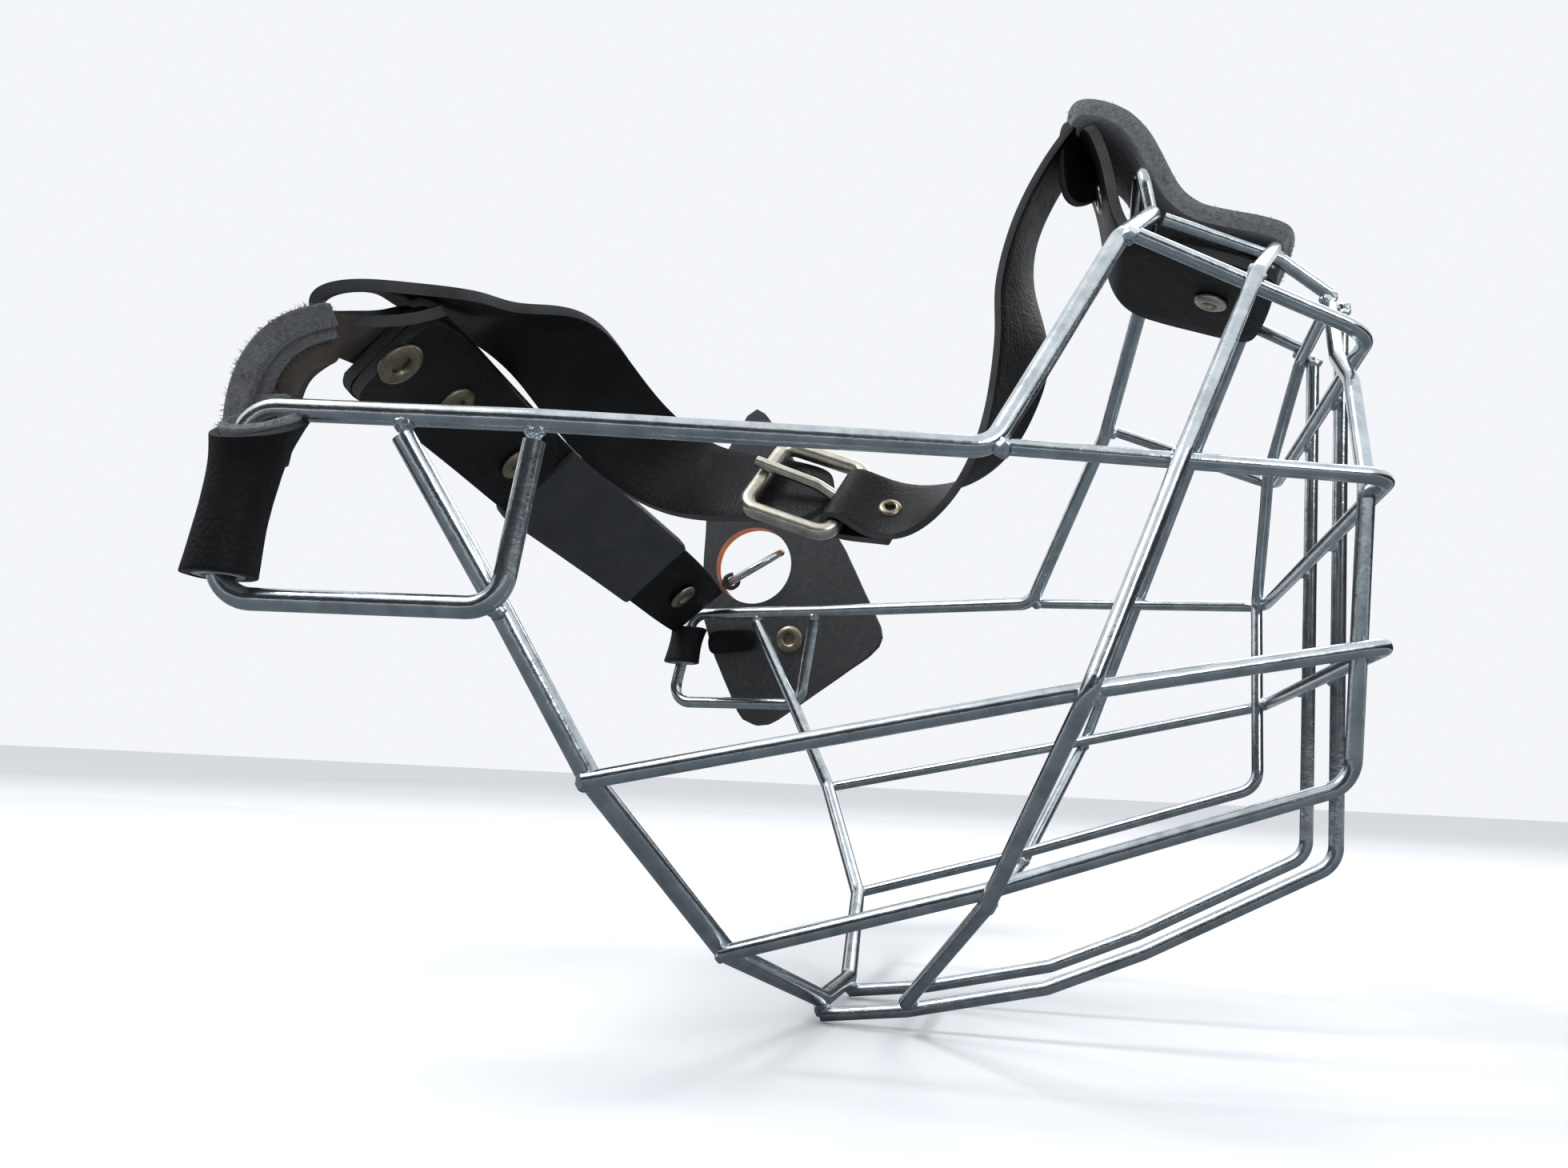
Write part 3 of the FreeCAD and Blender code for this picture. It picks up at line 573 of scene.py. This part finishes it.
def make_sleeves():
    right = [((-101.0, -95.7, -23.2), 4.3, 4.2), ((-100.6, -95.7, -20.0), 4.0, 4.1),
             ((-99.9, -95.8, -15.0), 3.8, 4.0), ((-98.9, -96.0, -10.0), 3.9, 4.1),
             ((-98.0, -96.2, -6.0), 4.5, 4.5), ((-97.0, -96.4, -3.2), 5.6, 4.9),
             ((-96.6, -96.5, -2.2), 6.0, 5.1)]
    flared = [((-96.4, -96.6, -1.0), 5.4, 4.4)]
    felt = make_sleeve("right", right, flared, (0.5 * MM, 0.012), (0.6 * MM, 0.004), slanted=True)
    fibres = fuzz("sleeve_fuzz_right", felt, 900, 1.0 * MM, seed=5, where=lambda p: p.center.z > -6.5 * MM)
    place(fibres, "right_sleeve", "felt")
    left = [((-100.9, 95.9, -14.6), 4.4, 4.3), ((-100.4, 96.1, -11.0), 4.0, 4.1),
            ((-99.7, 96.4, -7.0), 4.0, 4.1), ((-99.2, 96.6, -4.2), 4.5, 4.3)]
    make_sleeve("left", left, [], (0.4 * MM, 0.01), (0.4 * MM, 0.005), slanted=False)


# ---------------------------------------------------------------- neck strap and tab
TILT = (0.72, 0, 0.69)           # across the neck strap, which leans
INNER_FACE = (0.69, 0, -0.72)
OUTER_FACE = (-0.69, 0, 0.72)
LAYER = (1.48, 0, -1.55)         # from the strap's middle to its lining's
BACK_HEAD = 1.3                  # from the strap's middle out to a rivet head on its outer side
NECK = [((-95.4, -74.0, 17.6), TILT, 14), ((-95.7, -71.5, 18.1), TILT, 19), ((-96.5, -66, 18.8), TILT, 20),
        ((-98.9, -55, 20.2), TILT, 20), ((-101.2, -42, 20.0), TILT, 20), ((-102.8, -20, 18.2), TILT, 20),
        ((-103.3, -1, 15.4), TILT, 20), ((-102.8, 22, 13.0), TILT, 20), ((-101.0, 42, 10.0), TILT, 20),
        ((-97.8, 60, 6.0), TILT, 20), ((-95.6, 78, 2.4), TILT, 20), ((-95.8, 92.2, 0.4), TILT, 18)]


def shifted(stations, by, wider):
    """The same route moved by one step, with the strip that much wider."""
    dx, dy, dz = by
    return [((x + dx, y + dy, z + dz), across, width + wider) for (x, y, z), across, width in stations]


def off_neck(centre, out):
    """A place that far from the middle of the neck strap's leather, on its inner side."""
    x, y, z = centre
    return (x + INNER_FACE[0] * out, y, z + INNER_FACE[2] * out)


def make_neck_strap():
    place(strap("neck_strap", NECK, LEATHER), "harness", "leather", "neck_strap")
    route = shifted(NECK[:6], LAYER, -1.0) + [((-101.8, -3.5, 13.9), TILT, 19)]
    place(strap("neck_lining", route, LEATHER, corners="ALL"), "harness", "leather", "neck_lining")
    pad = strap("neck_pad", shifted(NECK[6:10], (0, 0, 0), 2.0), NECK_PADDING, (smooth_pad, smooth_pad),
                0.4 * MM, corner=1.1 * MM)
    place(pad, "harness", "leather", "neck_pad")
    heads = []
    rivets = (((-100.7, -45, 20.0), 3.5), ((-102.9, -15, 17.5), 3.5), ((-95.8, 76, 2.9), 1.4))
    for i, (middle, inner) in enumerate(rivets):
        front, back = off_neck(middle, inner), off_neck(middle, -BACK_HEAD)
        heads.append(rivet_head("neck_rivet_%d" % i, front, INNER_FACE, HARNESS_HEAD, brass))
        heads.append(rivet_head("neck_rivet_back_%d" % i, back, OUTER_FACE, HARNESS_HEAD, brass))
    place(join("neck_rivet_heads", heads), "harness", "rivet", "neck_rivets")


def laid_on(stations, distance, sideways, wider):
    """The same route moved off the strap's inner face, and a little toward its first edge."""
    moved = []
    for i, (centre, across, width) in enumerate(stations):
        before = Vector(stations[max(i - 1, 0)][0])
        after = Vector(stations[min(i + 1, len(stations) - 1)][0])
        along = (after - before).normalized()
        side = Vector(across).normalized()
        centre = tuple(Vector(centre) + along.cross(side) * distance + side * sideways)
        moved.append((centre, across, width + wider))
    return moved


def make_tab():
    route = [((-99.4, -91.9, -7.0), (-1, 0, 0), 7.5), ((-99.7, -91.6, -2.0), (-1, 0, 0), 9),
             ((-100.0, -91.4, 3.0), (-1, -0.1, 0.05), 9), ((-99.5, -91.0, 8.0), (-0.85, -0.3, 0.4), 9),
             ((-98.0, -89.2, 11.8), (-0.5, -0.25, 0.8), 9), ((-96.6, -85.6, 14.7), (-0.1, -0.1, 1), 8.5),
             ((-95.6, -80.0, 17.2), (0.8, 0, 0.45), 10.5), ((-96.6, -74.5, 19.4), (0.75, 0, 0.6), 12),
             ((-97.6, -68.5, 21.2), TILT, 13)]
    place(strap("tab_right", route, STRAP_LEATHER, (brown_back, cut_edge), 0.5 * MM), "harness", "leather",
          "tab_right")
    layers = ((route[1:6], 1.6, 2.0, -3.2), (route[1:6], 2.9, 2.6, -5.0), (route[0:3], 2.0, 0.2, 0.2))
    felts = []
    for i, (part, inward, sideways, wider) in enumerate(layers):
        felts.append(strap("tab_felt_%d" % i, laid_on(part, inward, sideways, wider), TAB_FELT,
                           (pressed_felt, pressed_felt), 0.8 * MM, corner=0.4 * MM))
    felt = join("tab_felt", felts)
    place(felt, "harness", "felt")
    place(fuzz("tab_fuzz", felt, 2600, 1.1 * MM, seed=8, finish=pressed_felt), "harness", "felt")
    heads = [rivet_head("root_rivet", (-103.6, -90.5, 6.4), (-0.55, 0.83, 0), ROOT_HEAD, brass),
             rivet_head("tab_rivet", off_neck((-95.7, -71, 18.3), 3.6), INNER_FACE, HARNESS_HEAD, brass),
             rivet_head("tab_rivet_back", (-97.6, -71, 20.6), OUTER_FACE, HARNESS_HEAD, brass)]
    place(join("tab_rivet_heads", heads), "harness", "rivet", "tab_rivets")


# ---------------------------------------------------------------- the two straps that meet in the buckle
HEEL = Vector((-33.6, -1.8, 9.0))            # middle of the buckle's heel bar, in millimetres
ALONG = Vector((-0.945, 0, 0.327))           # from the heel bar toward the buckle strap
ACROSS = (0.267, 0.578, 0.771)               # along the heel bar
BACK = ALONG.cross(Vector(ACROSS).normalized()).normalized()
RAW_EDGE_Y = (-38 * MM, -20 * MM)            # stretch of the buckle strap whose edge shows raw leather
RAW_EDGE_X = -82 * MM


def in_buckle(along, back):
    """A place in the buckle: along it from the heel bar, and back from its plane."""
    return tuple(HEEL + ALONG * along + BACK * back)


def make_buckle_strap():
    end_on = (0.537, -0.767, -0.35)
    curl = [((-85.6, -71.8, 24.0), end_on, 8), ((-89.1, -74.2, 21.6), end_on, 10),
            ((-93.1, -76.5, 20.6), end_on, 11), ((-98.0, -79.6, 19.5), end_on, 12),
            ((-100.9, -81.7, 20.0), end_on, 12), ((-101.2, -82.8, 22.1), end_on, 12),
            ((-98.9, -81.9, 24.1), end_on, 13), ((-95.0, -79.8, 25.2), end_on, 14)]
    run = [((-90.6, -76.0, 25.9), (0.62, -0.7, -0.3), 15), ((-88.6, -69.0, 27.2), (0.8, -0.5, -0.1), 16),
           ((-90.5, -57.0, 30.0), (0.97, -0.1, -0.05), 18), ((-88.0, -43, 33.2), (0.98, 0, 0.15), 20),
           ((-83.8, -35, 31.4), (0.93, 0, 0.37), 20), ((-81.6, -27, 27.0), (0.78, 0, 0.62), 20),
           ((-77.6, -15, 20.2), (0.6, 0.2, 0.78), 20), ((-70.1, -5.5, 15.0), (0.4, 0.42, 0.8), 20),
           ((-61.0, -1.2, 13.0), ACROSS, 19)]
    end = [(in_buckle(18.6, 3.5), ACROSS, 18.6), (in_buckle(9.5, 2.1), ACROSS, 18.2),
           (in_buckle(6.0, 1.5), ACROSS, 14), (in_buckle(4.0, 1.2), ACROSS, 5)]
    strip = strap("buckle_strap", curl + run + end, STRAP_LEATHER, (black_leather, cut_edge, raw_edge),
                  corners="ALL")
    for polygon in strip.data.polygons:
        in_stretch = RAW_EDGE_Y[0] < polygon.center.y < RAW_EDGE_Y[1] and polygon.center.x < RAW_EDGE_X
        if polygon.material_index == 1 and in_stretch:
            polygon.material_index = 2
    place(strip, "harness", "leather", "buckle_strap")


def make_forehead_strap():
    down = [((11.0, 0, 85.0), LEVEL, 17), ((8.2, 0, 81.4), LEVEL, 18), ((4.2, 0, 74.8), LEVEL, 20),
            ((0.5, 0, 66.0), (0.05, 1, 0), 20), ((-0.7, 0, 57.4), (0.2, 1, 0), 20),
            ((-0.2, -1, 48.8), (0.4, 0.9, 0), 20), ((0.9, -2, 41.0), (0.45, 0.9, 0), 20),
            ((-0.3, -3, 32.8), (0.4, 0.9, 0.1), 20), ((-3.2, -3, 22.7), (0.3, 0.9, 0.2), 20),
            ((-8.2, -3, 14.7), (0.2, 0.85, 0.35), 20), ((-14.6, -2.4, 9.6), (0.2, 0.75, 0.55), 19),
            ((-21.8, -1.8, 7.0), (0.25, 0.62, 0.72), 18.4), (in_buckle(-6.0, -1.2), ACROSS, 17)]
    around = [(in_buckle(-2.2, -2.6), ACROSS, 14.6), (in_buckle(1.2, -3.0), ACROSS, 14.4),
              (in_buckle(3.1, -0.2), ACROSS, 14.4), (in_buckle(1.2, 2.9), ACROSS, 14.4),
              (in_buckle(-2.6, 2.4), ACROSS, 14.6), (in_buckle(-7.0, 1.2), ACROSS, 14),
              (in_buckle(-11.5, 0.9), ACROSS, 12)]
    strip = strap("forehead_strap", down + around, FOREHEAD_LEATHER)
    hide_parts("forehead_strap")
    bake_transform(strip)
    head = rivet_head("strap_rivet_head", in_buckle(-9.0, -2.0), tuple(-BACK), STRAP_HEAD, brass)
    place(head, "harness", "rivet", "strap_rivet")


# ---------------------------------------------------------------- cheek flap
FLAP_Y = 104.1                   # middle of the leather's thickness
FLAP_FELT_Y = 101.8
HOLE_X, HOLE_Z, HOLE_RADIUS = -82.0, 15.4, 11.4
HOLE_EDGE = 11.9 * MM            # faces nearer the hole's middle than this are its dyed edge
BLANK_X, BLANK_Z = -70.5, 16.0   # middle of the blank that the flap is cut from
BLANK_SIZE = (0.062, 0.102, 1)   # its scale, in metres
RING_TAB_REACH = 2.1             # from the wire's middle to the middle of the loop's leather
FLAP_OUTLINE = [(-97.5, 2.0), (-92.5, -12.0), (-84.6, -28.0), (-82.8, -30.2), (-79.4, -31.6), (-76.0, -31.2),
                (-73.4, -29.8), (-47.0, -10.8), (-44.2, -7.8), (-43.2, -5.0), (-44.0, -1.6), (-55.0, 20.5),
                (-78.6, 59.0), (-80.8, 62.0), (-83.4, 63.4), (-86.2, 61.4), (-97.5, 40.0)]


def cut_flap(name, y, thickness, finishes, uneven):
    """Plate cut from a grid along straight lines, with a round hole through it."""
    deselect()
    bpy.ops.mesh.primitive_grid_add(x_subdivisions=44, y_subdivisions=72, size=1)
    piece = named(name)
    piece.rotation_euler = (math.radians(90), 0, 0)
    piece.scale = BLANK_SIZE
    piece.location = mm(BLANK_X, y, BLANK_Z)
    settle(piece)
    bpy.ops.object.mode_set(mode="EDIT")
    for (x0, z0), (x1, z1) in zip(FLAP_OUTLINE, FLAP_OUTLINE[1:] + FLAP_OUTLINE[:1]):
        bpy.ops.mesh.select_all(action="SELECT")
        outward = Vector((z1 - z0, 0, x0 - x1)).normalized()
        bpy.ops.mesh.bisect(plane_co=mm(x0, y, z0), plane_no=outward, clear_outer=True)
    bpy.ops.object.mode_set(mode="OBJECT")
    middle = mm(HOLE_X, y, HOLE_Z)
    bpy.ops.mesh.primitive_cylinder_add(vertices=72, radius=HOLE_RADIUS * MM, depth=0.03, location=middle,
                                        rotation=(math.radians(90), 0, 0))
    punch = named(name + "_punch")
    paint(piece, *finishes)
    thicken(piece, thickness, 0)
    hole = piece.modifiers.new("hole", "BOOLEAN")
    hole.object = punch
    hole.solver = "EXACT"
    apply_all(piece)
    bpy.data.objects.remove(punch)
    for polygon in piece.data.polygons:
        out = polygon.center - middle
        if abs(polygon.normal.y) < 0.5 and math.hypot(out.x, out.z) < HOLE_EDGE:
            polygon.material_index = 2
    rumple(piece, uneven, STRAP_LUMPS)
    smooth(piece)
    return piece


def make_cheek_flap():
    leather = cut_flap("cheek_flap", FLAP_Y, LEATHER, (black_leather, cut_edge, dyed_edge), 0.5 * MM)
    place(leather, "harness", "leather", "cheek_flap")
    felt = cut_flap("flap_felt", FLAP_FELT_Y, FLAP_FELT, (dark_felt, cut_edge, dyed_edge), 0.7 * MM)
    place(felt, "harness", "felt", "flap_felt")
    heads = [rivet_head("flap_rivet_in", (-69.9, 100.4, -6.5), (0, -1, 0), HARNESS_HEAD, brass),
             rivet_head("flap_rivet_out", (-69.9, 105.3, -6.5), (0, 1, 0), HARNESS_HEAD, nickel)]
    place(join("flap_rivet_heads", heads), "harness", "rivet", "flap_rivet")


def make_flap_tabs():
    """The tie that holds the flap, and the loop of leather that holds the ring."""
    upright = (0, 0, 1)
    route = [((-94.2, 99.4, -8.4), upright, 7), ((-90, 99.5, -8.0), upright, 7),
             ((-84, 99.4, -7.2), upright, 6.8), ((-79, 99.3, -6.8), upright, 6.4)]
    tie = strap("flap_tab", route, FLAP_TAB_LEATHER, corners="ALL")
    place(tie, "harness", "leather", "flap_tab")
    low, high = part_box("ring_tab")
    middle = (Vector(low) + Vector(high)) / 2 / MM
    tangent = Vector((-0.149, 0.953, 0.2485)).normalized()
    first = tangent.orthogonal().normalized()
    second = tangent.cross(first)
    wrap = []
    for angle in (math.radians(36 * k) for k in range(10)):
        out = (first * math.cos(angle) + second * math.sin(angle)) * RING_TAB_REACH
        wrap.append((tuple(middle + out), tuple(tangent), 4.0))
    loop = strap("ring_tab", wrap, RING_TAB_LEATHER, uneven=0, corner=0.2 * MM)
    place(loop, "harness", "leather", "ring_tab")


finish_wires()
make_welds()
make_nose_pad()
make_sleeves()
make_neck_strap()
make_tab()
make_buckle_strap()
make_forehead_strap()
make_cheek_flap()
make_flap_tabs()


# ---------------------------------------------------------------- studio
def hang_light(name, centre, power, size, colour):
    """A soft square light turned toward the muzzle."""
    bpy.ops.object.light_add(type="AREA", location=centre)
    light = bpy.context.object
    light.name = name
    light.data.energy = power
    light.data.size = size
    light.data.color = colour
    light.rotation_euler = (-Vector(centre)).to_track_quat("-Z", "Y").to_euler()


def stand_card(name, centre, size, turn, finish):
    """A card that shows only in reflections."""
    bpy.ops.mesh.primitive_plane_add(size=1, location=centre, rotation=[math.radians(a) for a in turn])
    card = named(name)
    card.scale = (size[0], size[1], 1)
    paint(card, finish)
    card.visible_camera = False
    card.visible_diffuse = False
    card.visible_shadow = False
    card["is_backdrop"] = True


def studio():
    world = bpy.data.worlds.new("studio")
    bpy.context.scene.world = world
    world.use_nodes = True
    sky = world.node_tree.nodes["Background"]
    sky.inputs["Color"].default_value = (0.95, 0.97, 1.0, 1)
    sky.inputs["Strength"].default_value = 0.95
    deselect()
    floor_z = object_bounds()[0][2] - 0.0002
    bpy.ops.mesh.primitive_plane_add(size=24, location=(0, 0, floor_z))
    floor = named("floor")
    paint(floor, plain("pale_floor", (0.72, 0.73, 0.75), 0.8))
    floor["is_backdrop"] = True
    black = plain("black_flag", (0.01, 0.01, 0.012), 1.0)
    grey = plain("grey_card", (0.085, 0.095, 0.105), 1.0)
    stand_card("flag_front", (0.0, -1.2, 0.40), (5.0, 1.06), (90, 0, 0), black)
    stand_card("flag_back", (-0.1, 1.2, 0.12), (5.0, 0.45), (90, 0, 0), black)
    stand_card("flag_nose", (1.6, 0, 0.30), (5.0, 0.8), (90, 0, 90), black)
    stand_card("flag_rear", (-1.6, 0, 0.20), (5.0, 0.5), (90, 0, 90), black)
    stand_card("flag_floor", (0, 0, floor_z + 0.0001), (1.6, 1.2), (0, 0, 0), grey)
    hang_light("key", (-0.7, -0.5, 1.2), 14, 0.5, (0.95, 0.98, 1.0))
    hang_light("fill", (0.9, -0.9, 0.6), 4, 0.4, (0.9, 0.95, 1.0))
    hang_light("back", (0.3, 0.9, 1.0), 6, 0.6, (1.0, 0.98, 0.95))


def camera():
    lens = bpy.data.cameras.new("camera")
    lens.sensor_width = 36.0
    lens.lens = 27.04
    eye = bpy.data.objects.new("camera", lens)
    bpy.context.scene.collection.objects.link(eye)
    right = Vector((0.96951, 0.24031, 0.04793))
    up = Vector((-0.00655, -0.17011, 0.9854))
    back = Vector((0.24495, -0.95568, -0.16335))
    turn = Matrix((right, up, back)).transposed().to_4x4()
    eye.matrix_world = Matrix.Translation(mm(12.23, -229.47, -46.6)) @ turn
    bpy.context.scene.camera = eye


studio()
camera()
bpy.context.scene.view_settings.view_transform = "Standard"
